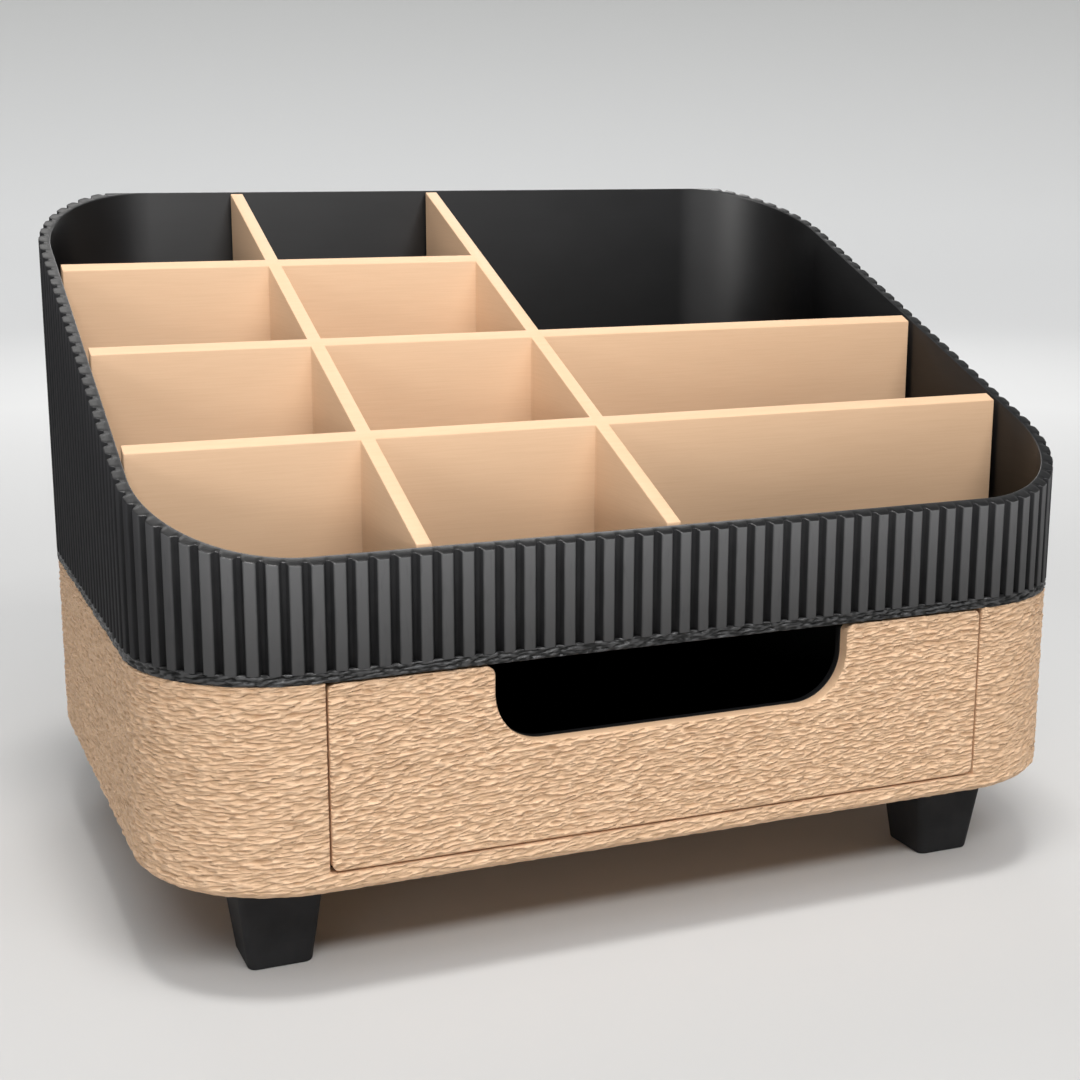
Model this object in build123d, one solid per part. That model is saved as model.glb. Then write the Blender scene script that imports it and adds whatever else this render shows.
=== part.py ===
from build123d import *
import os
from math import cos, pi, radians, sin, tan

# A table-top vanity organizer: a case on four feet with one drawer, under a fluted tray with a slanted rim.
# Millimetres. +Z is up, the drawer opens towards -Y, and the origin is on the floor under the middle.

# Case
case_width = 240.0
case_depth = 175.0
case_height = 48.0
corner_radius = 35.0
case_wall = 3.0
sill_height = 4.6
bottom_chamfer = 1.5
jamb_width = 36.5

# Feet and the spigots that hold them in the case
foot_height = 24.5
foot_top = 21.3
foot_bottom = 15.1
foot_side_inset = 29.8
foot_front_inset = 27.5
foot_rounding = 2.0
spigot_side = 10.0
spigot_length = 3.0
spigot_clearance = 0.15

# Tray: a floor slab that stands a little proud of the case, and a fluted wall cut off at a slant
tray_overhang = 0.4
tray_floor = 2.6
tray_wall = 1.9
rim_front_height = 26.0
rim_slant = 22.8
rib_height = 1.2
rib_pitch = 4.77
rib_crest_share = 0.48
rib_flank_share = 0.16
rib_offset = 1.2

# Pegs under the tray that drop into the sides of the case
peg_radius = 3.5
peg_length = 8.0
peg_clearance = 0.15

# Divider insert
divider_thickness = 3.6
divider_end_gap = 0.9
divider_seat_gap = 0.3
left_divider_x = -60.0
middle_divider_x = 0.0
cross_spacing = 42.0

# Drawer
front_thickness = 3.3
front_gap = 0.5
front_corner = 1.8
running_gap = 0.3
box_wall = 2.4
box_floor = 2.4
box_headroom = 1.5
box_back_gap = 0.8
box_corner = 5.0
handle_width = 90.0
handle_depth = 18.8
handle_corner = 12.3
handle_lip = 2.3
front_peg_radius = 2.5
front_peg_clearance = 0.1

# Cuts run past the faces they open by this much
overrun = 1.0

# Levels and planes that several pieces share
half_width = case_width / 2
half_depth = case_depth / 2
case_bottom = foot_height
case_top = case_bottom + case_height
bay_width = case_width - 2 * jamb_width
bay_floor = case_bottom + sill_height
tray_floor_top = case_top + tray_floor
tray_inset = tray_wall + rib_height - tray_overhang
tray_back = half_depth - tray_inset
slope = tan(radians(rim_slant))
rim_front = case_top + rim_front_height
rim_back = rim_front + slope * (half_depth + tray_back)
foot_x = half_width - foot_side_inset
foot_y = half_depth - foot_front_inset
peg_x = half_width - jamb_width / 2
peg_y = half_depth - corner_radius
corners = {"front_left": (-1, -1), "front_right": (1, -1), "rear_left": (-1, 1), "rear_right": (1, 1)}


def rounded_block(inset, low, high):
    """The case's rounded outline, moved in by inset and raised from low to high."""
    outline = RectangleRounded(case_width - 2 * inset, case_depth - 2 * inset, corner_radius - inset)
    return extrude(Pos(0, 0, low) * outline, high - low)


def span_box(x_span, y_span, z_span):
    """A box between three pairs of limits."""
    (x_low, x_high), (y_low, y_high), (z_low, z_high) = x_span, y_span, z_span
    box = Box(x_high - x_low, y_high - y_low, z_high - z_low)
    return Pos((x_low + x_high) / 2, (y_low + y_high) / 2, (z_low + z_high) / 2) * box


def upright(x, y, radius, low, high):
    """A round peg or hole between two heights."""
    return extrude(Pos(x, y, low) * Circle(radius), high - low)


def square_post(x, y, side, low, high):
    """A square spigot or socket between two heights."""
    return extrude(Pos(x, y, low) * Rectangle(side, side), high - low)


def above_rim():
    """All that lies above the rim: slanted from the front to the back wall, and level over that wall."""
    front_y = -half_depth - tray_overhang - overrun
    back_y = half_depth + tray_overhang + overrun
    top_z = rim_back + overrun
    front_z = rim_front - slope * (tray_overhang + overrun)
    rim_points = [(front_y, front_z), (tray_back, rim_back), (back_y, rim_back)]
    outline = Polyline(*rim_points, (back_y, top_z), (front_y, top_z), close=True)
    width = case_width + 2 * (tray_overhang + overrun)
    return extrude(Plane.YZ * make_face(outline), width / 2, both=True)


# Base case

def base_case():
    """A rounded block with the drawer's bay cut into it, and sockets for the tray and the feet."""
    case = rounded_block(0, case_bottom, case_top)
    case = chamfer(case.edges().group_by(Axis.Z)[0], bottom_chamfer)
    bay_side = bay_width / 2
    bay_span = (-half_depth - overrun, half_depth - case_wall)
    case -= span_box((-bay_side, bay_side), bay_span, (bay_floor, case_top + overrun))
    for side_x, side_y in corners.values():
        case -= corner_sockets(side_x, side_y)
    return case


def corner_sockets(side_x, side_y):
    """The hole for a tray peg from above, and the hole for a foot's spigot from below."""
    hole_radius = peg_radius + peg_clearance
    hole_bottom = case_top - peg_length - peg_clearance
    peg_hole = upright(side_x * peg_x, side_y * peg_y, hole_radius, hole_bottom, case_top + overrun)
    socket_side = spigot_side + 2 * spigot_clearance
    socket_bottom = case_bottom - overrun
    socket_top = case_bottom + spigot_length + spigot_clearance
    spigot_hole = square_post(side_x * foot_x, side_y * foot_y, socket_side, socket_bottom, socket_top)
    return peg_hole + spigot_hole


# Feet

def foot_taper(plane):
    """The foot's tapered outline in one upright plane, extruded through the foot's width."""
    low = foot_bottom / 2
    high = foot_top / 2
    outline = Polyline((-low, 0), (low, 0), (high, foot_height), (-high, foot_height), close=True)
    return extrude(plane * make_face(outline), high, both=True)


def foot(side_x, side_y):
    """A square foot, tapered both ways, with the spigot that plugs into the case."""
    leg = foot_taper(Plane.XZ) & foot_taper(Plane.YZ)
    leg = fillet(leg.edges().group_by(Axis.Z)[1], foot_rounding)
    leg += square_post(0, 0, spigot_side, foot_height, foot_height + spigot_length)
    return Pos(side_x * foot_x, side_y * foot_y, 0) * leg


# Fluted tray

def outline_point(station, inset):
    """A point on the tray's outline, moved in by inset, station millimetres round from the front's middle."""
    radius = corner_radius + tray_overhang
    run_x = half_width - corner_radius
    run_y = half_depth - corner_radius
    quarter = radius * pi / 2
    stretches = [
        (2 * run_x, 0, (0, -run_y)), (quarter, 1, (run_x, -run_y)),
        (2 * run_y, 0, (run_x, 0)), (quarter, 1, (run_x, run_y)),
        (2 * run_x, 0, (0, run_y)), (quarter, 1, (-run_x, run_y)),
        (2 * run_y, 0, (-run_x, 0)), (quarter, 1, (-run_x, -run_y)),
    ]
    left = (station + run_x) % (4 * (run_x + run_y) + 4 * quarter)
    heading = -pi / 2
    for length, is_arc, (x, y) in stretches:
        if left <= length:
            break
        left -= length
        heading += is_arc * pi / 2
    reach = radius - inset
    if is_arc:
        heading += left / radius
        return x + reach * cos(heading), y + reach * sin(heading)
    along = left - length / 2
    return x + reach * cos(heading) - along * sin(heading), y + reach * sin(heading) + along * cos(heading)


def fluted_outline():
    """The toothed outline of the tray's wall: flat crests with slanted flanks, evenly spaced all round."""
    radius = corner_radius + tray_overhang
    perimeter = 2 * (case_width + case_depth - 4 * corner_radius) + 2 * pi * radius
    rib_count = round(perimeter / rib_pitch)
    pitch = perimeter / rib_count
    points = []
    half_crest = rib_crest_share * pitch / 2
    half_root = half_crest + rib_flank_share * pitch
    for rib in range(rib_count):
        middle = rib_offset + rib * pitch
        points.append(outline_point(middle - half_root, rib_height))
        points.append(outline_point(middle - half_crest, 0))
        points.append(outline_point(middle + half_crest, 0))
        points.append(outline_point(middle + half_root, rib_height))
    return make_face(Polyline(*points, close=True))


def upper_tray():
    """The floor slab, the fluted wall under its slanted rim, and the pegs that locate it on the case."""
    wall = extrude(Pos(0, 0, tray_floor_top) * fluted_outline(), rim_back - tray_floor_top)
    tray = rounded_block(-tray_overhang, case_top, tray_floor_top) + wall
    tray -= rounded_block(tray_inset, tray_floor_top, rim_back + overrun)
    tray -= above_rim()
    for side_x, side_y in corners.values():
        tray += upright(side_x * peg_x, side_y * peg_y, peg_radius, case_top - peg_length, case_top)
    return tray


# Divider insert

def divider_insert():
    """Two dividers front to back and three across, one piece, with their tops in the plane of the rim."""
    half = divider_thickness / 2
    end_x = half_width - tray_inset - divider_end_gap
    end_y = tray_back - divider_end_gap
    heights = (tray_floor_top + divider_seat_gap, rim_back)
    panels = [
        span_box((x - half, x + half), (-end_y, end_y), heights) for x in (left_divider_x, middle_divider_x)
    ]
    for row in (-1, 0, 1):
        right_x = middle_divider_x if row > 0 else end_x
        y = row * cross_spacing
        panels.append(span_box((-end_x, right_x), (y - half, y + half), heights))
    insert = panels[0]
    for panel in panels[1:]:
        insert += panel
    return insert - above_rim()


# Drawer

def handle_slot():
    """The flat shape of the finger opening, open at the top, with x across and y up."""
    height = handle_depth + overrun
    slot = Pos(0, case_top - front_gap - handle_depth + height / 2) * Rectangle(handle_width, height)
    return fillet(slot.vertices().group_by(Axis.Y)[0], handle_corner)


def drawer_front():
    """The drawer's face, flush with the case, with its finger opening and the pegs that plug into the box."""
    low_z = bay_floor + front_gap
    high_z = case_top - front_gap
    outline = RectangleRounded(bay_width - 2 * front_gap, high_z - low_z, front_corner)
    outline = Pos(0, (low_z + high_z) / 2) * outline - handle_slot()
    top_points = outline.vertices().group_by(Axis.Y)[-1]
    lips = sorted(top_points, key=lambda point: abs(point.X))[:2]
    outline = fillet(lips, handle_lip)
    plate = extrude(Plane.XZ.offset(half_depth - front_thickness) * outline, front_thickness)
    return plate + front_pegs(front_peg_radius)


def front_pegs(radius):
    """Two pegs behind the drawer front, or the holes that take them, through the box's front wall."""
    reach = (handle_width + bay_width) / 4
    height = (bay_floor + case_top) / 2
    inner_face = Plane.XZ.offset(half_depth - front_thickness - box_wall)
    left_peg = extrude(inner_face * Pos(-reach, height) * Circle(radius), box_wall)
    right_peg = extrude(inner_face * Pos(reach, height) * Circle(radius), box_wall)
    return left_peg + right_peg


def drawer_box():
    """The open box behind the drawer's face, which slides on the floor of the bay."""
    width = bay_width - 2 * front_gap
    front_y = front_thickness - half_depth
    back_y = half_depth - case_wall - box_back_gap
    low_z = bay_floor + running_gap
    high_z = case_top - box_headroom
    outer = span_box((-width / 2, width / 2), (front_y, back_y), (low_z, high_z))
    back_edges = outer.edges().filter_by(Axis.Z).group_by(Axis.Y)[-1]
    outer = fillet(back_edges, box_corner)
    inside = span_box(
        (box_wall - width / 2, width / 2 - box_wall),
        (front_y + box_wall, back_y - box_wall),
        (low_z + box_floor, high_z + overrun),
    )
    inside = fillet(inside.edges().filter_by(Axis.Z), box_corner - box_wall)
    box = outer - inside
    box -= extrude(Plane.XZ.offset(-front_y - box_wall) * handle_slot(), box_wall)
    return box - front_pegs(front_peg_radius + front_peg_clearance)


# All pieces, one file each

def all_nodes():
    nodes = {
        "base_case": base_case(),
        "upper_tray": upper_tray(),
        "divider_insert": divider_insert(),
        "drawer_front": drawer_front(),
        "drawer_box": drawer_box(),
    }
    for place, (side_x, side_y) in corners.items():
        nodes[f"foot_{place}"] = foot(side_x, side_y)
    return nodes


os.makedirs("parts", exist_ok=True)
for name, solid in all_nodes().items():
    export_step(solid, f"parts/{name}.step")
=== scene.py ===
from math import ceil, cos, hypot, pi, radians, sin, tan

import bmesh
import bpy
import numpy as np
from mathutils import Matrix, Vector
from mathutils.geometry import delaunay_2d_cdt


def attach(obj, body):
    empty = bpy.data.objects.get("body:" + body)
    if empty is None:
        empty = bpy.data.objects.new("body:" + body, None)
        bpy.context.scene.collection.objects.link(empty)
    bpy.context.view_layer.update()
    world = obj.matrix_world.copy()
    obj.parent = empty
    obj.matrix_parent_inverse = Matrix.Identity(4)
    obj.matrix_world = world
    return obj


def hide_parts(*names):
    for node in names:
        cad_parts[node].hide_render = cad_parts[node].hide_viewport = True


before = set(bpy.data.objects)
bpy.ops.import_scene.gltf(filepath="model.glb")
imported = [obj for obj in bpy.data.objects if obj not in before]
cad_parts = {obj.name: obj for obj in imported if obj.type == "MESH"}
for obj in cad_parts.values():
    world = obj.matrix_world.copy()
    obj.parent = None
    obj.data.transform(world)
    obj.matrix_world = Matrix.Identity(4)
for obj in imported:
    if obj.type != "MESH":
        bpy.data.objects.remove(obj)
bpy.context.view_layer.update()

# A table-top vanity organizer: a wrinkled tan case with one drawer on black feet,
# under a black fluted tray with tan dividers. Metres, in the frame of the solids.

# Case
case_half_width = 0.120
case_half_depth = 0.0875
corner_radius = 0.035
case_outline = (case_half_width, case_half_depth, corner_radius)
case_bottom = 0.0245
case_top = 0.0725
chamfer = 0.0015
chamfer_shares = (0.0, 0.35, 0.7)
bay_half_width = 0.0835
bay_floor = 0.0291
bay_back = 0.0845
edge_rounding = 0.00035

# Tray
tray_overhang = 0.0004
tray_outline = tuple(size + tray_overhang for size in case_outline)
tray_floor_top = 0.0751
tray_wall = 0.0031
tray_back = 0.0848
rim_front = 0.0985
rim_slope = tan(radians(22.8))
rim_rounding = 0.00026
rib_count = 162
rib_height = 0.0012
rib_crest_share = 0.38
rib_flank_share = 0.22
rib_offset = 0.0012
rib_steps = 24
groove_share = 0.3
wall_sink = 0.0002

# Rows of the tray wall's section, from its outer foot over the rim to its inner foot
section_rows = 8
section_step = 0.001
rim_row = (section_rows - 1) / 2
rim_edge_rows = 2.0
rim_finish_rows = 1.2
foot_from_rim = 3.0
inside_from_row = 2.2

# Drawer face
face_half_width = 0.083
face_bottom = 0.0296
face_top = 0.0720
face_front = -0.0875
face_back = -0.0842
face_corner = 0.0018
grip_half_width = 0.045
grip_bottom = 0.0532
grip_corner = 0.0123
grip_lip = 0.0023
plug_radius = 0.0025
plug_end = -0.0818
plug_x = 0.06425
plug_z = 0.0508
plug_sides = 32

# Dividers and drawer tub
divider_rounding = 0.00025
tub_rounding = 0.0004
rounding_steps = 2
flat_degrees = 0.5
sharp_degrees = 30
shade_degrees = 40
merge_distance = 1e-6

# Feet
foot_height = 0.0245
foot_top = 0.0213
foot_bottom = 0.0151
foot_rounding = 0.0020
foot_sole_rounding = 0.0006
foot_sole_share = 0.3
foot_arc_steps = 8
foot_shade_degrees = 60
foot_x = 0.0902
foot_y = 0.060

# Wrinkled skin: the grids that carry it
skin_step_along = 0.0012
skin_step_up = 0.00026
face_step_along = 0.0008
face_step_up = 0.00022
face_border_steps = 0.6
band_step_along = 0.0008
band_step_up = 0.00020

# Wrinkled skin: the wrinkles' size, depth and lean
wrinkle_length = 0.0022
wrinkle_height = 0.00060
wrinkle_detail = 0.3
wrinkle_sway = 0.4
wrinkle_slant = 0.10
wrinkle_seed = 1.0
grain_share = 0.06
case_wrinkles = {
    "Wrinkle Length": wrinkle_length, "Wrinkle Height": wrinkle_height, "Wrinkle Depth": 0.0015,
    "Level": 0.52, "Limit": 0.0003, "Seed": wrinkle_seed,
}
band_wrinkles = {
    "Wrinkle Length": 0.0016, "Wrinkle Height": 0.00060, "Wrinkle Depth": 0.0026,
    "Level": 0.58, "Limit": 0.0, "Seed": 3.0,
}

# How much of the wrinkles' depth is left at the edges
chamfer_wrinkle_share = 0.7
sill_wrinkle_share = 0.8
sill_edge_wrinkle_share = 0.9
bay_edge_wrinkle_share = 0.4
face_edge_wrinkle_share = 0.3
band_edge_wrinkle_share = 0.3

# Front and side of the tray, between which the crests' painted sheen fades
sheen_front_y = -0.083
sheen_side_y = -0.061

# Paper floor and wall
floor_radius = 1.5
floor_ring = 0.9
wall_bend = 0.8
wall_top = 2.2
bend_steps = 12
backdrop_turns = 96
floor_colour = (0.53, 0.53, 0.527, 1.0)
# The floor's front is painted darker, as shade against the pool of light from the front window lamp
front_floor_colour = (0.40, 0.40, 0.398, 1.0)
wall_colour = (0.20, 0.20, 0.20, 1.0)
wall_colour_seen = (0.40, 0.40, 0.390, 1.0)
front_floor_run = (-0.8, -0.3)
wall_rise = (0.0, 0.4)
glow_colour = (1.0, 1.0, 0.985, 1.0)
glow_strength = 0.25
glow_left_at_top = 0.05
glow_reach = (0.35, 0.9)
glow_rise = (0.1, 0.8)
glow_depth = (-0.2, 0.3)

# Room light: where it is brightest, and how bright it is there and elsewhere
room_front = (-0.20, -0.77, 0.60)
room_colour = (0.95, 0.97, 1.0, 1.0)
room_fade = (0.45, 0.95)
room_dim = 0.06
room_bright = 2.3

# Lamps: name, place, aim, size, power, colour and beam
lamps = [
    ("overhead", (-0.08, -0.22, 1.30), (0.0, 0.0, 0.08), (0.25, 0.25), 8.5, (1.0, 0.98, 0.95), pi),
    ("front_window", (-0.08, -1.15, 1.10), (0.0, 0.0, 0.08), (1.5, 0.22), 14.6, (1.0, 0.99, 0.98), pi),
    ("left_card", (-0.58, -0.62, 0.12), (0.0, 0.0, 0.05), (0.3, 0.10), 0.12, (1.0, 0.99, 0.98), 1.2),
    ("ceiling", (-0.08, 0.9, 1.2), (0.0, 0.0, 0.10), (0.5, 0.5), 2.0, (1.0, 0.98, 0.96), pi),
    ("back_window", (0.5, 1.1, 0.8), (0.0, 0.0, 0.08), (0.6, 0.6), 3.5, (1.0, 0.99, 0.98), pi),
]

# Camera, worked out from the organizer's edges
camera_place = (-0.1776, -0.4354, 0.1818)
camera_turn = 22.356
camera_tilt = 12.346
camera_lens = 58.73
camera_sensor = 36.0
camera_nearest = 0.01


# Node helpers

def add_node(tree, kind, inputs=None, **options):
    """Adds a node, sets its options, and fills its inputs with values or with sockets of other nodes."""
    made = tree.nodes.new(kind)
    for option, value in options.items():
        setattr(made, option, value)
    for key, value in (inputs or {}).items():
        if isinstance(value, bpy.types.NodeSocket):
            tree.links.new(value, made.inputs[key])
        else:
            made.inputs[key].default_value = value
    return made


def calc(tree, operation, *values):
    """A sum on numbers."""
    return add_node(tree, "ShaderNodeMath", dict(enumerate(values)), operation=operation).outputs[0]


def calc_vector(tree, operation, first, second):
    """A sum on vectors; a scale takes a number second."""
    key = "Scale" if operation == "SCALE" else 1
    return add_node(tree, "ShaderNodeVectorMath", {0: first, key: second}, operation=operation).outputs[0]


def mapped(tree, value, low, high, out_low=0.0, out_high=1.0):
    """A value's run from low to high brought between two limits, and held there."""
    limits = {"From Min": low, "From Max": high, "To Min": out_low, "To Max": out_high}
    return add_node(tree, "ShaderNodeMapRange", {"Value": value, **limits}).outputs[0]


def parts_of(tree, vector):
    """The X, Y and Z sockets of a vector."""
    return add_node(tree, "ShaderNodeSeparateXYZ", {0: vector}).outputs


def vector_of(tree, x, y, z):
    """A vector of three values."""
    return add_node(tree, "ShaderNodeCombineXYZ", {0: x, 1: y, 2: z}).outputs[0]


def slanted(tree, place, slant):
    """Coordinates sheared so that level streaks rise to the right."""
    parts = parts_of(tree, place)
    up = calc(tree, "MULTIPLY_ADD", parts["X"], -slant, parts["Z"])
    return vector_of(tree, parts["X"], parts["Y"], up)


def object_place(tree):
    """Object coordinates in a material."""
    return add_node(tree, "ShaderNodeTexCoord").outputs["Object"]


# Shape helpers

def new_shape_tree(name, inputs):
    """An empty shape tree with named inputs; returns it, the sockets of its inputs and its output node."""
    tree = bpy.data.node_groups.new(name, "GeometryNodeTree")
    tree.interface.new_socket(name="Geometry", in_out="INPUT", socket_type="NodeSocketGeometry")
    for label, kind in inputs.items():
        tree.interface.new_socket(name=label, in_out="INPUT", socket_type="NodeSocket" + kind)
    tree.interface.new_socket(name="Geometry", in_out="OUTPUT", socket_type="NodeSocketGeometry")
    return tree, tree.nodes.new("NodeGroupInput").outputs, tree.nodes.new("NodeGroupOutput")


def new_object(name, mesh):
    """An object at the origin with this mesh."""
    made = bpy.data.objects.new(name, mesh)
    bpy.context.scene.collection.objects.link(made)
    return made


def shaped(name, mesh, tree, values):
    """The plain mesh object that a shape tree makes from a mesh."""
    made = new_object(name, mesh)
    modifier = made.modifiers.new("shape", "NODES")
    modifier.node_group = tree
    for socket in tree.interface.items_tree:
        if socket.in_out == "INPUT" and socket.name in values:
            modifier[socket.identifier] = values[socket.name]
    bpy.context.view_layer.update()
    depsgraph = bpy.context.evaluated_depsgraph_get()
    evaluated = made.evaluated_get(depsgraph)
    result = bpy.data.meshes.new_from_object(evaluated, preserve_all_data_layers=True, depsgraph=depsgraph)
    made.modifiers.remove(modifier)
    made.data = result
    return made


def stored(tree, geometry, name, kind, value):
    """Keeps a value on a geometry's points under a name."""
    inputs = {"Geometry": geometry, "Name": name, "Value": value}
    made = add_node(tree, "GeometryNodeStoreNamedAttribute", inputs, data_type=kind, domain="POINT")
    return made.outputs[0]


def named(tree, name, kind):
    """Reads a value kept under a name."""
    return add_node(tree, "GeometryNodeInputNamedAttribute", {"Name": name}, data_type=kind).outputs[0]


def finished(tree, geometry, material, selection=True):
    """Gives a geometry, or the selected part of it, a material."""
    inputs = {"Geometry": geometry, "Selection": selection, "Material": material}
    return add_node(tree, "GeometryNodeSetMaterial", inputs).outputs[0]


def made_real(tree, geometry):
    """Turns instances into plain geometry."""
    return add_node(tree, "GeometryNodeRealizeInstances", {"Geometry": geometry}).outputs[0]


# Materials

def new_material(name, **settings):
    """A material and its shader, with the settings that are the same all over it."""
    material = bpy.data.materials.new(name)
    material.use_nodes = True
    shader = material.node_tree.nodes["Principled BSDF"]
    for key, value in settings.items():
        shader.inputs[key.replace("_", " ")].default_value = value
    return material, material.node_tree, shader


def stretched_noise(tree, across, up, detail, seed, sway=0.0, slant=0.0):
    """Noise on Object coordinates with one grain size across and another one up."""
    place = slanted(tree, object_place(tree), slant)
    scale = (1 / across, 1 / across, 1 / up)
    mapping = add_node(tree, "ShaderNodeMapping", {"Vector": place, "Scale": scale})
    noise = add_node(
        tree,
        "ShaderNodeTexNoise",
        {"Vector": mapping.outputs[0], "W": seed, "Scale": 1.0, "Detail": detail, "Distortion": sway},
        noise_dimensions="4D",
    )
    return noise.outputs[0]


def ramp(tree, value, stops):
    """A colour that follows a value through stops of (place, colour)."""
    made = add_node(tree, "ShaderNodeValToRGB", {"Fac": value})
    points = made.color_ramp.elements
    while len(points) < len(stops):
        points.new(0.5)
    for point, (place, colour) in zip(points, stops):
        point.position = place
        point.color = (*colour, 1.0)
    return made.outputs["Color"]


def blended(tree, mode, share, first, second):
    """Two colours mixed."""
    inputs = {0: share, 6: first, 7: second}
    return add_node(tree, "ShaderNodeMix", inputs, data_type="RGBA", blend_type=mode).outputs[2]


def bumped(tree, shader, height, strength, depth):
    """Lets a height drive the shader's normal."""
    made = add_node(tree, "ShaderNodeBump", {"Height": height, "Strength": strength, "Distance": depth})
    tree.links.new(made.outputs[0], shader.inputs["Normal"])


def attribute(tree, name):
    """A value kept on the mesh under a name."""
    return add_node(tree, "ShaderNodeAttribute", attribute_name=name).outputs["Fac"]


def between(tree, value, low, high):
    """A value from 0 to 1 brought between two limits."""
    return mapped(tree, value, 0.0, 1.0, low, high)


def wrinkled_tan():
    """The tan skin: a painted highlight on the wrinkles' backs and painted shade in their creases, with a
    fine grain.
    """
    material, tree, shader = new_material("wrinkled_tan", Specular_IOR_Level=0.3)
    # Painted shade in the creases and a painted highlight on the backs, following the wrinkles' relief
    crease_shade = ramp(
        tree,
        attribute(tree, "relief"),
        [(0.25, (0.62, 0.400, 0.240)), (0.50, (0.735, 0.492, 0.312)), (0.75, (0.780, 0.545, 0.362))],
    )
    mottle = stretched_noise(tree, across=0.012, up=0.006, detail=2.0, seed=3.0)
    shade = ramp(tree, mottle, [(0.3, (0.94, 0.93, 0.92)), (0.7, (1.0, 1.0, 1.0))])
    tree.links.new(blended(tree, "MULTIPLY", 1.0, crease_shade, shade), shader.inputs["Base Color"])
    grain = stretched_noise(tree, across=0.0011, up=0.00030, detail=2.0, seed=5.0)
    tree.links.new(between(tree, grain, 0.55, 0.75), shader.inputs["Roughness"])
    wrinkle = stretched_noise(
        tree, wrinkle_length, wrinkle_height, wrinkle_detail, wrinkle_seed, wrinkle_sway, wrinkle_slant
    )
    height = calc(tree, "ADD", wrinkle, calc(tree, "MULTIPLY", grain, grain_share))
    bumped(tree, shader, height, strength=1.0, depth=0.0013)
    return material


def layered_tan():
    """The plain tan: long faint streaks along the printed layers."""
    material, tree, shader = new_material("layered_tan", Specular_IOR_Level=0.3)
    streak = stretched_noise(tree, across=0.012, up=0.00040, detail=3.0, seed=7.0)
    cloud = stretched_noise(tree, across=0.030, up=0.020, detail=1.0, seed=9.0)
    lines = ramp(
        tree,
        streak,
        [(0.30, (0.708, 0.469, 0.293)), (0.52, (0.728, 0.487, 0.307)), (0.72, (0.741, 0.501, 0.318))],
    )
    shade = ramp(tree, cloud, [(0.3, (0.985, 0.98, 0.975)), (0.7, (1.0, 1.0, 1.0))])
    tree.links.new(blended(tree, "MULTIPLY", 1.0, lines, shade), shader.inputs["Base Color"])
    tree.links.new(between(tree, streak, 0.48, 0.62), shader.inputs["Roughness"])
    bumped(tree, shader, streak, strength=0.18, depth=0.00012)
    return material


def layered_black(name, colours, roughness, depth, gloss, drawn_out=0.0):
    """Black plastic in fine printed layers, whose sheen they may draw out upright."""
    material, tree, shader = new_material(name, Specular_IOR_Level=gloss, Anisotropic=drawn_out)
    tree.links.new(colours(tree), shader.inputs["Base Color"])
    layer = stretched_noise(tree, across=0.020, up=0.00035, detail=2.0, seed=11.0)
    tree.links.new(between(tree, layer, *roughness), shader.inputs["Roughness"])
    tree.links.new(vector_of(tree, 0.0, 0.0, 1.0), shader.inputs["Tangent"])
    bumped(tree, shader, layer, strength=0.3, depth=depth)
    return material


def clouded(tree):
    """Nearly even black."""
    cloud = stretched_noise(tree, across=0.015, up=0.010, detail=2.0, seed=13.0)
    return ramp(tree, cloud, [(0.3, (0.0060, 0.0060, 0.0064)), (0.7, (0.0090, 0.0089, 0.0094))])


def dusty(tree):
    """Black with a faint grey haze."""
    cloud = stretched_noise(tree, across=0.006, up=0.008, detail=3.0, seed=19.0)
    return ramp(tree, cloud, [(0.3, (0.019, 0.019, 0.020)), (0.7, (0.027, 0.027, 0.028))])


def crest_sheen_and_shade(tree):
    """Black with a painted sheen on the ribs' crests, strongest along the front, and painted shade down their
    flanks into the grooves.
    """
    crest = calc(tree, "SUBTRACT", 1.0, attribute(tree, "groove"))
    sheen_streaks = stretched_noise(tree, across=0.0012, up=0.006, detail=3.0, seed=17.0)
    sheen_share = calc(tree, "MULTIPLY", crest, between(tree, sheen_streaks, 0.88, 1.12))
    # Painted sheen on the crests, lightest along the front, and painted shade on the flanks
    front = ramp(tree, sheen_share, [(0.68, (0.016, 0.016, 0.017)), (0.98, (0.114, 0.114, 0.116))])
    sides = ramp(tree, sheen_share, [(0.68, (0.014, 0.014, 0.015)), (0.98, (0.037, 0.037, 0.039))])
    away = mapped(tree, parts_of(tree, object_place(tree))["Y"], sheen_front_y, sheen_side_y)
    return blended(tree, "MIX", away, front, sides)


def wormy_black():
    """The rough black edge of the tray's floor: a painted highlight on the backs of short wormy wrinkles,
    with painted shade between them.
    """
    material, tree, shader = new_material("wormy_black", Specular_IOR_Level=0.5)
    relief = attribute(tree, "relief")
    # Painted highlight on the wrinkles' backs and painted shade between them
    colour = ramp(tree, relief, [(0.47, (0.003, 0.003, 0.003)), (0.60, (0.045, 0.045, 0.046))])
    tree.links.new(colour, shader.inputs["Base Color"])
    grain = stretched_noise(tree, across=0.0008, up=0.0003, detail=2.0, seed=15.0)
    tree.links.new(between(tree, grain, 0.32, 0.50), shader.inputs["Roughness"])
    bumped(tree, shader, grain, strength=0.6, depth=0.00015)
    return material


tan_skin = wrinkled_tan()
tan_layers = layered_tan()
black_ribs = layered_black("fluted_black", crest_sheen_and_shade, roughness=(0.75, 0.85), depth=0.00005, gloss=0.05)
black_grooves = layered_black("groove_black", dusty, roughness=(0.75, 0.85), depth=0.00005, gloss=0.05)
black_rim = layered_black("rim_black", clouded, roughness=(0.30, 0.38), depth=0.00003, gloss=0.5)
black_inside = layered_black(
    "inside_black", clouded, roughness=(0.46, 0.56), depth=0.00005, gloss=0.6, drawn_out=0.95
)
black_floor = layered_black("floor_black", clouded, roughness=(0.46, 0.56), depth=0.00005, gloss=0.5)
black_tub = layered_black("tub_black", clouded, roughness=(0.44, 0.56), depth=0.00008, gloss=0.5)
black_foot = layered_black("foot_black", dusty, roughness=(0.65, 0.75), depth=0.00004, gloss=0.15)
black_edge = wormy_black()


# Outlines and grids

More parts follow.
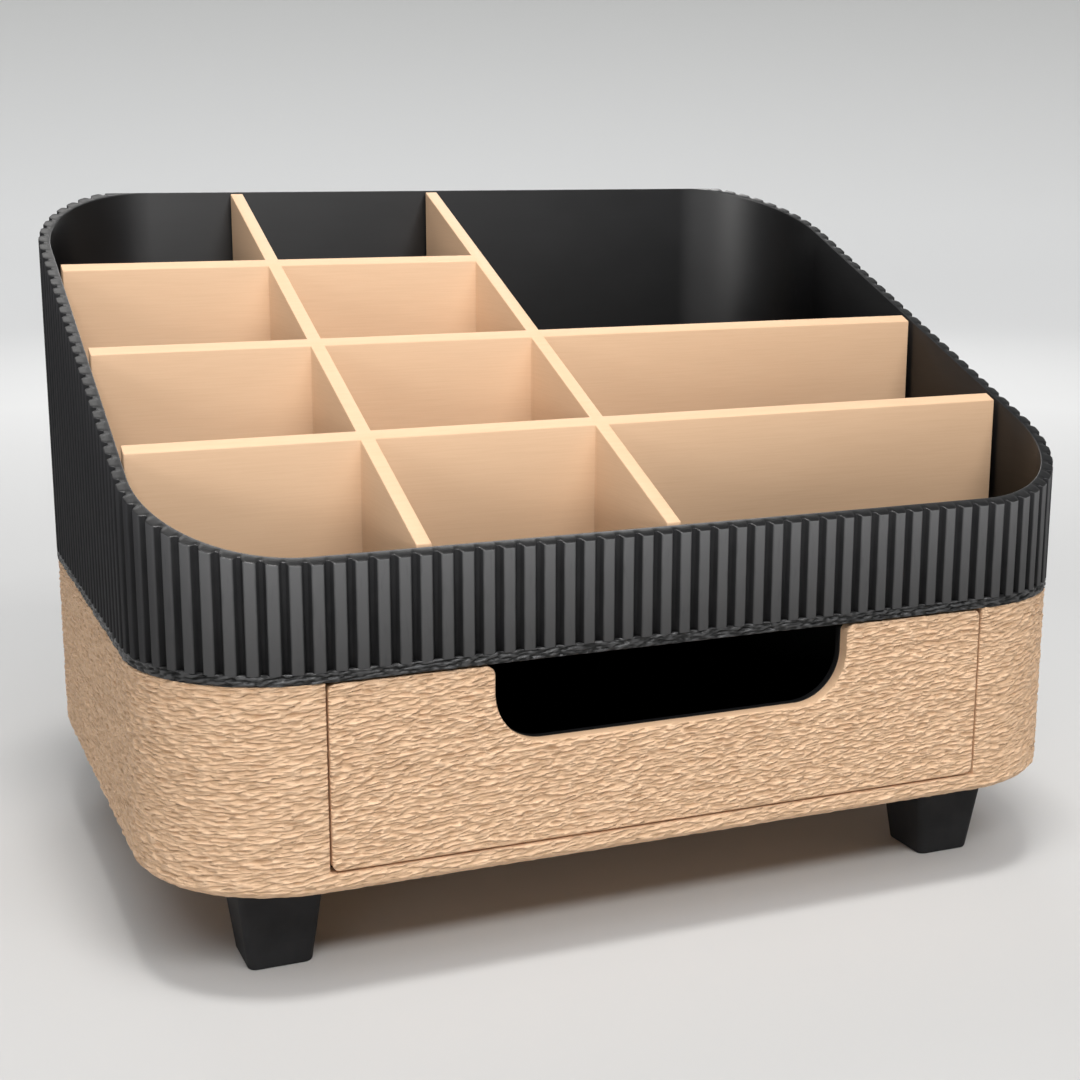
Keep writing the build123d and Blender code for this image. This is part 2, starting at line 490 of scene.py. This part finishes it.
def rounded_outline(half_width, half_depth, radius, stations):
    """Points and outward directions round a rounded rectangle, rightwards from its front's middle."""
    run_x = half_width - radius
    run_y = half_depth - radius
    quarter = radius * pi / 2
    sides = [(run_x, (0, -run_y)), (run_y, (run_x, 0)), (run_x, (0, run_y)), (run_y, (-run_x, 0))]
    around = [(run_x, -run_y), (run_x, run_y), (-run_x, run_y), (-run_x, -run_y)]
    total = 4 * (run_x + run_y + quarter)
    points = []
    for station in stations:
        left = (station + run_x) % total
        heading = -pi / 2
        along = 0.0
        for (run, middle), centre in zip(sides, around):
            place = middle
            if left <= 2 * run:
                along = left - run
                break
            left -= 2 * run
            place = centre
            if left <= quarter:
                heading += left / radius
                break
            left -= quarter
            heading += pi / 2
        outward = (cos(heading), sin(heading))
        x = place[0] + radius * outward[0] - along * outward[1]
        y = place[1] + radius * outward[1] + along * outward[0]
        points.append((x, y, *outward))
    return np.array(points)


def outline_length(half_width, half_depth, radius):
    """The way round a rounded rectangle."""
    return 4 * (half_width + half_depth - 2 * radius) + 2 * pi * radius


def spread(low, high, step):
    """Evenly spaced values from low to high, about step apart."""
    return np.linspace(low, high, max(2, ceil((high - low) / step) + 1))


def grid_faces(index, wrap=False):
    """Quads over a table of point numbers, rows going up and columns to the right."""
    rows, columns = index.shape
    faces = []
    for row in range(rows - 1):
        for column in range(columns if wrap else columns - 1):
            after = (column + 1) % columns
            low = (index[row, column], index[row, after])
            faces.append((*low, index[row + 1, after], index[row + 1, column]))
    return faces


# Wrinkled skin

def mesh_with_skin(name, points, faces, rough, outward):
    """A mesh whose points know which way and how far they may wrinkle, shaded smooth on the skin alone."""
    mesh = bpy.data.meshes.new(name)
    mesh.from_pydata([tuple(point) for point in points], [], faces)
    is_rough = np.array(rough, dtype=bool)
    directions = mesh.attributes.new("outward", "FLOAT_VECTOR", "POINT").data
    directions.foreach_set("vector", np.array(outward).ravel())
    mesh.attributes.new("rough", "BOOLEAN", "FACE").data.foreach_set("value", is_rough)
    mesh.polygons.foreach_set("use_smooth", is_rough)
    mesh.update()
    return mesh


def skin_tree():
    """Shape tree: pushes the skin in and out by stretched noise, and paints it."""
    tree, given, out = new_shape_tree(
        "wrinkled_skin",
        {
            "Wrinkle Length": "Float", "Wrinkle Height": "Float", "Wrinkle Depth": "Float", "Level": "Float",
            "Limit": "Float", "Seed": "Float", "Skin": "Material", "Plain": "Material",
        },
    )
    place = add_node(tree, "GeometryNodeInputPosition").outputs[0]
    size = vector_of(tree, given["Wrinkle Length"], given["Wrinkle Length"], given["Wrinkle Height"])
    scaled = calc_vector(tree, "DIVIDE", slanted(tree, place, wrinkle_slant), size)
    noise = add_node(
        tree,
        "ShaderNodeTexNoise",
        {
            "Vector": scaled, "W": given["Seed"], "Scale": 1.0, "Detail": wrinkle_detail, "Roughness": 0.5,
            "Distortion": wrinkle_sway,
        },
        noise_dimensions="4D",
    ).outputs[0]
    relief = stored(tree, given["Geometry"], "relief", "FLOAT", noise)
    above = calc(tree, "SUBTRACT", noise, given["Level"])
    rise = calc(tree, "MULTIPLY", above, given["Wrinkle Depth"])
    held = calc(tree, "MINIMUM", rise, given["Limit"])
    shift = calc_vector(tree, "SCALE", named(tree, "outward", "FLOAT_VECTOR"), held)
    moved = add_node(tree, "GeometryNodeSetPosition", {"Geometry": relief, "Offset": shift}).outputs[0]
    plain = finished(tree, made_real(tree, moved), given["Plain"])
    painted = finished(tree, plain, given["Skin"], named(tree, "rough", "BOOLEAN"))
    tree.links.new(painted, out.inputs[0])
    return tree


skin_shape = skin_tree()


# Case

def case_rows():
    """The case's rows of points, as height, inset and share of wrinkles, and the number of the sill's row."""
    rows = [
        (case_bottom + chamfer * share, chamfer * (1 - share), chamfer_wrinkle_share)
        for share in chamfer_shares
    ]
    sill = spread(case_bottom + chamfer, bay_floor - edge_rounding, skin_step_up)
    rows += [(height, 0.0, sill_wrinkle_share) for height in sill]
    rows.append((bay_floor, 0.0, sill_edge_wrinkle_share))
    wall = spread(bay_floor + edge_rounding, case_top, skin_step_up)
    rows += [(height, 0.0, 1.0) for height in wall]
    return rows, len(chamfer_shares) + len(sill)


def case_mesh():
    """The case as one closed skin: wrinkled outside, with a chamfered foot edge, and the plain bay inside."""
    rows, sill_row = case_rows()
    length = outline_length(*case_outline)
    right_jamb, left_jamb = bay_half_width, length - bay_half_width
    wall_run = spread(right_jamb + edge_rounding, left_jamb - edge_rounding, skin_step_along)
    wall_stations = [right_jamb, *wall_run, left_jamb]
    sill_stations = spread(-bay_half_width, bay_half_width, skin_step_along)[1:-1]
    stations = np.concatenate([wall_stations, length + sill_stations])
    ring = rounded_outline(*case_outline, stations)
    wall_count = len(wall_stations)
    points, outward = [], []
    index = np.full((len(rows), len(stations)), -1)
    for row, (height, inset, share) in enumerate(rows):
        for column, (x, y, out_x, out_y) in enumerate(ring):
            in_sill = column >= wall_count
            if in_sill and row > sill_row:
                break
            at_jamb = column in (0, wall_count - 1) and row >= sill_row
            at_edge = at_jamb or (in_sill and row == sill_row)
            back = edge_rounding if at_edge else inset
            strength = share * (bay_edge_wrinkle_share if at_edge else 1.0)
            index[row, column] = len(points)
            points.append((x - back * out_x, y - back * out_y, height))
            outward.append((out_x * strength, out_y * strength, 0.0))
    below = index[: sill_row + 1]
    faces = grid_faces(index[:, :wall_count])
    faces += grid_faces(np.column_stack([below[:, wall_count - 1], below[:, wall_count:], below[:, 0]]))
    rough = [True] * len(faces)
    corner = {}
    for side in (-1, 1):
        for height in (bay_floor, case_top):
            corner[side, height] = len(points)
            points.append((side * bay_half_width, bay_back, height))
            outward.append((0.0, 0.0, 0.0))
    top = list(index[-1, :wall_count])
    jamb_right = list(index[sill_row:, 0])
    jamb_left = list(index[sill_row:, wall_count - 1])
    sill = [index[sill_row, wall_count - 1], *index[sill_row, wall_count:], index[sill_row, 0]]
    plain = [
        list(index[0])[::-1],
        top + [corner[-1, case_top], corner[1, case_top]],
        jamb_left[::-1] + [corner[-1, bay_floor], corner[-1, case_top]],
        jamb_right + [corner[1, case_top], corner[1, bay_floor]],
        sill + [corner[1, bay_floor], corner[-1, bay_floor]],
        [corner[-1, bay_floor], corner[1, bay_floor], corner[1, case_top], corner[-1, case_top]],
    ]
    faces += plain
    rough += [False] * len(plain)
    return mesh_with_skin("case", points, faces, rough, outward)


def make_case():
    """The wrinkled case with its drawer bay."""
    finishes = {"Skin": tan_skin, "Plain": tan_layers}
    case = shaped("wrinkled_case", case_mesh(), skin_shape, {**case_wrinkles, **finishes})
    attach(case, "case")
    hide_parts("base_case")


# Drawer face

def rounded_loop(corners, step_along, step_up):
    """A closed outline through corners of (x, z, radius), with its points spaced like the skin's grid."""
    loop = []
    count = len(corners)
    for number, (x, z, radius) in enumerate(corners):
        here = Vector((x, z))
        before = (Vector(corners[number - 1][:2]) - here).normalized()
        after = (Vector(corners[(number + 1) % count][:2]) - here).normalized()
        start = here + before * radius
        end = here + after * radius
        centre = here + (before + after) * radius
        pieces = max(4, ceil(radius * pi / 2 / step_along * 2))
        for piece in range(pieces + 1):
            angle = piece / pieces * pi / 2
            loop.append(centre + (start - centre) * cos(angle) + (end - centre) * sin(angle))
    filled = []
    for here, after in zip(loop, loop[1:] + loop[:1]):
        run = after - here
        steps = max(1, round(hypot(run.x / step_along, run.y / step_up)))
        filled += [here + run * (part / steps) for part in range(steps)]
    return filled


def moved_in(loop, distance):
    """The loop moved inwards."""
    moved = []
    for before, here, after in zip(loop[-1:] + loop[:-1], loop, loop[1:] + loop[:1]):
        along = (after - before).normalized()
        moved.append(here + Vector((-along.y, along.x)) * distance)
    return moved


def inside_loop(loop, x, z):
    """For each grid point, whether it lies inside the loop."""
    inside = np.zeros(x.shape, dtype=bool)
    for here, after in zip(loop, loop[1:] + loop[:1]):
        if here.y == after.y:
            continue
        crosses = (here.y > z) != (after.y > z)
        at = here.x + (z - here.y) / (after.y - here.y) * (after.x - here.x)
        inside ^= crosses & (x < at)
    return inside


def steps_from_loop(loop, x, z, step_along, step_up):
    """How far each point is from the loop's points, in steps of the grid."""
    nearest = np.full(x.shape, np.inf)
    for point in loop:
        nearest = np.minimum(nearest, np.hypot((x - point.x) / step_along, (z - point.y) / step_up))
    return nearest


def face_outline():
    """The face's outline, with the finger opening in its top edge."""
    corners = [
        (-face_half_width, face_bottom, face_corner), (face_half_width, face_bottom, face_corner),
        (face_half_width, face_top, face_corner), (grip_half_width, face_top, grip_lip),
        (grip_half_width, grip_bottom, grip_corner), (-grip_half_width, grip_bottom, grip_corner),
        (-grip_half_width, face_top, grip_lip), (-face_half_width, face_top, face_corner),
    ]
    return rounded_loop(corners, face_step_along, face_step_up)


def face_grid(border):
    """The front's points and triangles: the border's points first, then those of the grid inside it."""
    x, z = np.meshgrid(
        spread(-face_half_width, face_half_width, face_step_along),
        spread(face_bottom, face_top, face_step_up),
    )
    x, z = x.ravel(), z.ravel()
    within = inside_loop(border, x, z)
    x, z = x[within], z[within]
    clear = steps_from_loop(border, x, z, face_step_along, face_step_up) > face_border_steps
    scaled = [Vector((point.x / face_step_along, point.y / face_step_up)) for point in border]
    scaled += [Vector((a / face_step_along, b / face_step_up)) for a, b in zip(x[clear], z[clear])]
    ring = [(number, (number + 1) % len(border)) for number in range(len(border))]
    flat, _, triangles, *_ = delaunay_2d_cdt(scaled, ring, [], 1, merge_distance)
    points = [(point.x * face_step_along, face_front, point.y * face_step_up) for point in flat]
    return points, [list(triangle) for triangle in triangles]


def face_mesh():
    """The drawer's face: a wrinkled front with soft edges and a finger opening, and a plain back."""
    edge = face_outline()
    size = len(edge)
    points, faces = face_grid(moved_in(edge, edge_rounding))
    strength = np.ones(len(points))
    strength[:size] = face_edge_wrinkle_share
    outward = [(0.0, -share, 0.0) for share in strength]
    rough = [True] * len(faces)
    first = len(points)
    points += [(point.x, face_front + edge_rounding, point.y) for point in edge]
    points += [(point.x, face_back, point.y) for point in edge]
    outward += [(0.0, 0.0, 0.0)] * (2 * size)
    for number in range(size):
        after = (number + 1) % size
        faces.append([first + number, first + after, after, number])
        faces.append([first + size + number, first + size + after, first + after, first + number])
        rough += [True, False]
    faces.append([first + size + number for number in range(size)][::-1])
    rough.append(False)
    add_plugs(points, faces, rough, outward)
    return mesh_with_skin("face", points, faces, rough, outward)


def add_plugs(points, faces, rough, outward):
    """The two round plugs behind the face that hold it in the drawer's tub."""
    for side in (-1, 1):
        first = len(points)
        last = first + plug_sides
        for y in (face_back, plug_end):
            for number in range(plug_sides):
                angle = 2 * pi * number / plug_sides
                x = side * plug_x + plug_radius * cos(angle)
                points.append((x, y, plug_z + plug_radius * sin(angle)))
                outward.append((0.0, 0.0, 0.0))
        for number in range(plug_sides):
            after = (number + 1) % plug_sides
            faces.append([first + after, first + number, last + number, last + after])
        faces.append([last + number for number in range(plug_sides)][::-1])
        faces.append([first + number for number in range(plug_sides)])
        rough += [False] * (plug_sides + 2)


def make_drawer_face():
    """The wrinkled face of the drawer."""
    finishes = {"Skin": tan_skin, "Plain": tan_layers}
    face = shaped("drawer_face", face_mesh(), skin_shape, {**case_wrinkles, **finishes})
    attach(face, "drawer")
    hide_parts("drawer_front")


# Tray

def rim_height(tree, y):
    """The rim's height at a depth: slanted, and level over the back wall."""
    reach = calc(tree, "ADD", calc(tree, "MINIMUM", y, tray_back), case_half_depth)
    return calc(tree, "ADD", calc(tree, "MULTIPLY", reach, rim_slope), rim_front)


def rim_turn(tree, row):
    """A row's distance from the rim's middle, and its turn round the rim's edge, upright at a right angle."""
    from_rim = calc(tree, "ABSOLUTE", calc(tree, "SUBTRACT", row, rim_row))
    share = calc(tree, "MINIMUM", calc(tree, "SUBTRACT", from_rim, 0.5), rim_edge_rows)
    return from_rim, calc(tree, "MULTIPLY", share, pi / 2 / rim_edge_rows)


def rib_groove(tree, given):
    """How deep each point of the outline lies between the ribs: 0 on a crest, 1 in a groove."""
    number = add_node(tree, "GeometryNodeInputIndex").outputs[0]
    phase = calc(tree, "FRACT", calc(tree, "DIVIDE", number, given["Steps"]))
    from_crest = calc(tree, "MINIMUM", phase, calc(tree, "SUBTRACT", 1.0, phase))
    half_crest = calc(tree, "MULTIPLY", given["Crest Share"], 0.5)
    flank = mapped(tree, from_crest, half_crest, calc(tree, "ADD", half_crest, given["Flank Share"]))
    return calc(tree, "MULTIPLY", flank, flank)


def flat_place(tree, given, row):
    """Where each point lies in plan: on the ribs outside, and on the smooth wall inside."""
    _, turn = rim_turn(tree, row)
    from_side = calc(tree, "SUBTRACT", 1.0, calc(tree, "SINE", turn))
    inset = calc(tree, "MULTIPLY", from_side, given["Rim Rounding"])
    is_inner = calc(tree, "GREATER_THAN", row, rim_row)
    ribbed = calc(tree, "MULTIPLY", named(tree, "groove", "FLOAT"), given["Rib Height"])
    outer = calc(tree, "ADD", ribbed, inset)
    inner = calc(tree, "SUBTRACT", given["Wall"], inset)
    depth = add_node(tree, "ShaderNodeMix", {0: is_inner, 2: outer, 3: inner}, data_type="FLOAT").outputs[0]
    back = calc(tree, "MULTIPLY", depth, -1.0)
    inwards = calc_vector(tree, "SCALE", named(tree, "outward", "FLOAT_VECTOR"), back)
    return calc_vector(tree, "ADD", named(tree, "base", "FLOAT_VECTOR"), inwards)


def rim_place(tree, given, row):
    """Each point raised to its height below the slanted rim, with the lowest rows left on the floor."""
    from_rim, turn = rim_turn(tree, row)
    from_top = calc(tree, "SUBTRACT", 1.0, calc(tree, "COSINE", turn))
    drop = calc(tree, "MULTIPLY", from_top, given["Rim Rounding"])
    parts = parts_of(tree, add_node(tree, "GeometryNodeInputPosition").outputs[0])
    high = calc(tree, "SUBTRACT", rim_height(tree, parts["Y"]), drop)
    is_foot = calc(tree, "GREATER_THAN", from_rim, foot_from_rim)
    levels = {0: is_foot, 2: high, 3: given["Foot Level"]}
    level = add_node(tree, "ShaderNodeMix", levels, data_type="FLOAT").outputs[0]
    return vector_of(tree, parts["X"], parts["Y"], level)


def fluted_tree():
    """Shape tree: ribs round an outline, a smooth wall inside them, and a slanted rim with soft edges."""
    tree, given, out = new_shape_tree(
        "fluted_wall",
        {
            "Ribs": "Int", "Steps": "Int", "Rib Height": "Float", "Crest Share": "Float",
            "Flank Share": "Float", "Wall": "Float", "Rim Rounding": "Float", "Foot Level": "Float",
            "Ribs Finish": "Material", "Grooves Finish": "Material", "Rim Finish": "Material",
            "Inside Finish": "Material",
        },
    )
    outline = add_node(tree, "GeometryNodeMeshToCurve", {"Mesh": given["Geometry"]}).outputs[0]
    count = calc(tree, "MULTIPLY", given["Ribs"], given["Steps"])
    path = add_node(tree, "GeometryNodeResampleCurve", {"Curve": outline, "Count": count}).outputs[0]
    path = stored(tree, path, "groove", "FLOAT", rib_groove(tree, given))
    tangent = add_node(tree, "GeometryNodeInputTangent").outputs[0]
    outward = calc_vector(tree, "CROSS_PRODUCT", tangent, (0.0, 0.0, 1.0))
    path = stored(tree, path, "outward", "FLOAT_VECTOR", outward)
    base = add_node(tree, "GeometryNodeInputPosition").outputs[0]
    path = stored(tree, path, "base", "FLOAT_VECTOR", base)
    line = {"Count": section_rows, "Offset": (0.0, 0.0, section_step)}
    section = add_node(tree, "GeometryNodeMeshLine", line).outputs[0]
    section = stored(tree, section, "row", "FLOAT", add_node(tree, "GeometryNodeInputIndex").outputs[0])
    profile = add_node(tree, "GeometryNodeMeshToCurve", {"Mesh": section}).outputs[0]
    profile = add_node(tree, "GeometryNodeSetSplineCyclic", {"Geometry": profile, "Cyclic": True}).outputs[0]
    skin = add_node(tree, "GeometryNodeCurveToMesh", {"Curve": path, "Profile Curve": profile}).outputs[0]
    row = named(tree, "row", "FLOAT")
    for position in (flat_place(tree, given, row), rim_place(tree, given, row)):
        skin = add_node(tree, "GeometryNodeSetPosition", {"Geometry": skin, "Position": position}).outputs[0]
    smooth = add_node(tree, "GeometryNodeSetShadeSmooth", {"Geometry": skin}).outputs[0]
    ribs = finished(tree, made_real(tree, smooth), given["Ribs Finish"])
    is_groove = calc(tree, "GREATER_THAN", named(tree, "groove", "FLOAT"), groove_share)
    grooves = finished(tree, ribs, given["Grooves Finish"], is_groove)
    is_inside = calc(tree, "GREATER_THAN", row, inside_from_row)
    inside = finished(tree, grooves, given["Inside Finish"], is_inside)
    is_rim = calc(tree, "COMPARE", row, rim_row, rim_finish_rows)
    painted = finished(tree, inside, given["Rim Finish"], is_rim)
    tree.links.new(painted, out.inputs[0])
    return tree


def outline_mesh():
    """The tray's outer outline as a loop of edges that starts at a rib's crest."""
    length = outline_length(*tray_outline)
    stations = rib_offset + np.arange(0, length, length / (rib_count * rib_steps))
    ring = rounded_outline(*tray_outline, stations)
    mesh = bpy.data.meshes.new("outline")
    count = len(ring)
    mesh.from_pydata([(x, y, 0.0) for x, y, *_ in ring], [(n, (n + 1) % count) for n in range(count)], [])
    return mesh


def make_fluted_wall():
    """The tray's fluted wall with its slanted rim."""
    wall = shaped(
        "fluted_wall",
        outline_mesh(),
        fluted_tree(),
        {
            "Ribs": rib_count, "Steps": rib_steps, "Rib Height": rib_height, "Crest Share": rib_crest_share,
            "Flank Share": rib_flank_share, "Wall": tray_wall, "Rim Rounding": rim_rounding,
            "Foot Level": tray_floor_top - wall_sink, "Ribs Finish": black_ribs,
            "Grooves Finish": black_grooves, "Rim Finish": black_rim, "Inside Finish": black_inside,
        },
    )
    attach(wall, "case")
    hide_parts("upper_tray")


def floor_mesh():
    """The tray's floor: a slab with a rough, wormy edge."""
    ring = rounded_outline(*tray_outline, spread(0.0, outline_length(*tray_outline), band_step_along)[:-1])
    heights = spread(case_top, tray_floor_top, band_step_up)
    points, outward = [], []
    for row, height in enumerate(heights):
        at_edge = row in (0, len(heights) - 1)
        back = edge_rounding if at_edge else 0.0
        strength = band_edge_wrinkle_share if at_edge else 1.0
        for x, y, out_x, out_y in ring:
            points.append((x - back * out_x, y - back * out_y, height))
            outward.append((out_x * strength, out_y * strength, 0.0))
    index = np.arange(len(points)).reshape(len(heights), len(ring))
    faces = grid_faces(index, wrap=True)
    rough = [True] * len(faces) + [False, False]
    faces += [list(index[0])[::-1], list(index[-1])]
    return mesh_with_skin("floor", points, faces, rough, outward)


def make_tray_floor():
    """The tray's floor, whose edge shows as a rough band under the ribs."""
    finishes = {"Skin": black_edge, "Plain": black_floor}
    floor = shaped("tray_floor", floor_mesh(), skin_shape, {**band_wrinkles, **finishes})
    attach(floor, "case")
    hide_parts("upper_tray")


# Dividers and drawer tub

def softened_copy(name, node, width, finish):
    """A solid's own mesh with its edges slightly rounded."""
    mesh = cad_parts[node].data.copy()
    shape = bmesh.new()
    shape.from_mesh(mesh)
    bmesh.ops.remove_doubles(shape, verts=shape.verts, dist=merge_distance)
    bmesh.ops.dissolve_limit(shape, angle_limit=radians(flat_degrees), verts=shape.verts, edges=shape.edges)
    inner = [edge for edge in shape.edges if len(edge.link_faces) == 2]
    sharp = [edge for edge in inner if edge.calc_face_angle() > radians(sharp_degrees)]
    bmesh.ops.bevel(
        shape, geom=sharp, offset=width, segments=rounding_steps, profile=0.5, affect="EDGES",
        clamp_overlap=True, harden_normals=False,
    )
    shape.to_mesh(mesh)
    shape.free()
    mesh.materials.clear()
    mesh.materials.append(finish)
    mesh.polygons.foreach_set("use_smooth", [True] * len(mesh.polygons))
    mesh.set_sharp_from_angle(angle=radians(shade_degrees))
    return new_object(name, mesh)


def make_dividers():
    """The drop-in lattice of dividers."""
    dividers = softened_copy("divider_lattice", "divider_insert", divider_rounding, tan_layers)
    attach(dividers, "insert")
    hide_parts("divider_insert")


def make_tub():
    """The drawer's open tub."""
    tub = softened_copy("drawer_tub", "drawer_box", tub_rounding, black_tub)
    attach(tub, "drawer")
    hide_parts("drawer_box")


# Feet

def foot_mesh():
    """One tapered square foot with rounded upright edges and a softened sole."""
    sole = foot_sole_rounding * foot_sole_share
    levels = [(0.0, foot_sole_rounding), (sole, sole), (foot_sole_rounding, 0.0), (foot_height, 0.0)]
    points = []
    for height, inset in levels:
        side = foot_bottom + (foot_top - foot_bottom) * height / foot_height
        reach = side / 2 - foot_rounding
        radius = foot_rounding - inset
        for quarter, (sign_x, sign_y) in enumerate([(1, 1), (-1, 1), (-1, -1), (1, -1)]):
            for step in range(foot_arc_steps + 1):
                angle = (quarter + step / foot_arc_steps) * pi / 2
                x = sign_x * reach + radius * cos(angle)
                points.append((x, sign_y * reach + radius * sin(angle), height))
    index = np.arange(len(points)).reshape(len(levels), -1)
    faces = grid_faces(index, wrap=True) + [list(index[0])[::-1], list(index[-1])]
    mesh = bpy.data.meshes.new("foot")
    mesh.from_pydata(points, [], faces)
    mesh.polygons.foreach_set("use_smooth", [True] * len(faces))
    mesh.set_sharp_from_angle(angle=radians(foot_shade_degrees))
    return mesh


def feet_tree():
    """Shape tree: one foot under each corner."""
    tree, given, out = new_shape_tree(
        "four_feet", {"Spacing X": "Float", "Spacing Y": "Float", "Finish": "Material"}
    )
    spacing = {"Size X": given["Spacing X"], "Size Y": given["Spacing Y"], "Vertices X": 2, "Vertices Y": 2}
    corners = add_node(tree, "GeometryNodeMeshGrid", spacing).outputs[0]
    feet = add_node(tree, "GeometryNodeInstanceOnPoints", {"Points": corners, "Instance": given["Geometry"]})
    painted = finished(tree, made_real(tree, feet.outputs[0]), given["Finish"])
    tree.links.new(painted, out.inputs[0])
    return tree


def make_feet():
    """The four tapered feet."""
    sizes = {"Spacing X": 2 * foot_x, "Spacing Y": 2 * foot_y}
    feet = shaped("tapered_feet", foot_mesh(), feet_tree(), {**sizes, "Finish": black_foot})
    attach(feet, "case")
    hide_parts("foot_front_left", "foot_front_right", "foot_rear_left", "foot_rear_right")


# Studio

def pale_paper():
    """Paper that stays pale to the eye, and in what mirrors it, without lighting the organizer more."""
    material, tree, shader = new_material(
        "pale_paper", Roughness=1.0, Specular_IOR_Level=0.0, Emission_Color=glow_colour
    )
    ray = add_node(tree, "ShaderNodeLightPath").outputs
    mirrored = calc(tree, "MAXIMUM", ray["Is Glossy Ray"], ray["Is Transmission Ray"])
    seen = calc(tree, "MAXIMUM", ray["Is Camera Ray"], mirrored)
    place = object_place(tree)
    parts = parts_of(tree, place)
    wall = blended(tree, "MIX", seen, wall_colour, wall_colour_seen)
    # Painted shade on the floor's front, against the front window lamp's light
    floor = blended(tree, "MIX", mapped(tree, parts["Y"], *front_floor_run), front_floor_colour, floor_colour)
    paper = blended(tree, "MIX", mapped(tree, parts["Z"], *wall_rise), floor, wall)
    tree.links.new(paper, shader.inputs["Base Color"])
    reach = add_node(tree, "ShaderNodeVectorMath", {0: place}, operation="LENGTH").outputs["Value"]
    far = mapped(tree, reach, *glow_reach, 0.0, glow_strength)
    high = mapped(tree, parts["Z"], *glow_rise, 1.0, glow_left_at_top)
    behind = mapped(tree, parts["Y"], *glow_depth)
    glow = calc(tree, "MULTIPLY", calc(tree, "MULTIPLY", seen, behind), calc(tree, "MULTIPLY", far, high))
    tree.links.new(glow, shader.inputs["Emission Strength"])
    return material


def make_backdrop():
    """A pale floor that sweeps up into a wall all round."""
    profile = [(floor_ring, 0.0), (floor_radius, 0.0)]
    for step in range(1, bend_steps + 1):
        angle = step / bend_steps * pi / 2
        profile.append((floor_radius + wall_bend * sin(angle), wall_bend * (1 - cos(angle))))
    profile.append((floor_radius + wall_bend, wall_top))
    points = [(0.0, 0.0, 0.0)]
    for reach, height in profile:
        for turn in range(backdrop_turns):
            angle = 2 * pi * turn / backdrop_turns
            points.append((reach * cos(angle), reach * sin(angle), height))
    index = np.arange(1, len(points)).reshape(len(profile), backdrop_turns)
    faces = [(0, index[0, turn], index[0, (turn + 1) % backdrop_turns]) for turn in range(backdrop_turns)]
    faces += [(a, d, c, b) for a, b, c, d in grid_faces(index, wrap=True)]
    mesh = bpy.data.meshes.new("backdrop")
    mesh.from_pydata(points, [], faces)
    mesh.polygons.foreach_set("use_smooth", [True] * len(faces))
    mesh.materials.append(pale_paper())
    new_object("backdrop", mesh)


def make_lamp(name, place, aim, size, power, colour, beam):
    """A soft oblong lamp that faces a point."""
    data = bpy.data.lights.new(name, "AREA")
    data.shape = "RECTANGLE"
    data.size, data.size_y = size
    data.energy = power
    data.spread = beam
    data.color = colour
    lamp = bpy.data.objects.new(name, data)
    lamp.location = place
    lamp.rotation_euler = (Vector(aim) - Vector(place)).to_track_quat("-Z", "Y").to_euler()
    bpy.context.scene.collection.objects.link(lamp)


def make_room_light():
    """A soft room, bright towards the front and dim behind."""
    world = bpy.data.worlds.new("room")
    world.use_nodes = True
    tree = world.node_tree
    direction = add_node(tree, "ShaderNodeTexCoord").outputs["Generated"]
    towards = add_node(tree, "ShaderNodeVectorMath", {0: direction, 1: room_front}, operation="DOT_PRODUCT")
    strength = mapped(tree, towards.outputs["Value"], *room_fade, room_dim, room_bright)
    background = tree.nodes["Background"]
    background.inputs["Color"].default_value = room_colour
    tree.links.new(strength, background.inputs["Strength"])
    bpy.context.scene.world = world


def make_camera():
    """The camera at the height and side that the organizer is looked at from."""
    data = bpy.data.cameras.new("camera")
    data.lens = camera_lens
    data.sensor_width = camera_sensor
    data.clip_start = camera_nearest
    camera = bpy.data.objects.new("camera", data)
    turn = Matrix.Rotation(radians(-camera_turn), 4, "Z") @ Matrix.Rotation(radians(90 - camera_tilt), 4, "X")
    camera.matrix_world = Matrix.Translation(camera_place) @ turn
    bpy.context.scene.collection.objects.link(camera)
    bpy.context.scene.camera = camera


make_case()
make_drawer_face()
make_fluted_wall()
make_tray_floor()
make_dividers()
make_tub()
make_feet()
make_backdrop()
make_room_light()
for lamp_values in lamps:
    make_lamp(*lamp_values)
make_camera()
bpy.context.scene.view_settings.view_transform = "Standard"
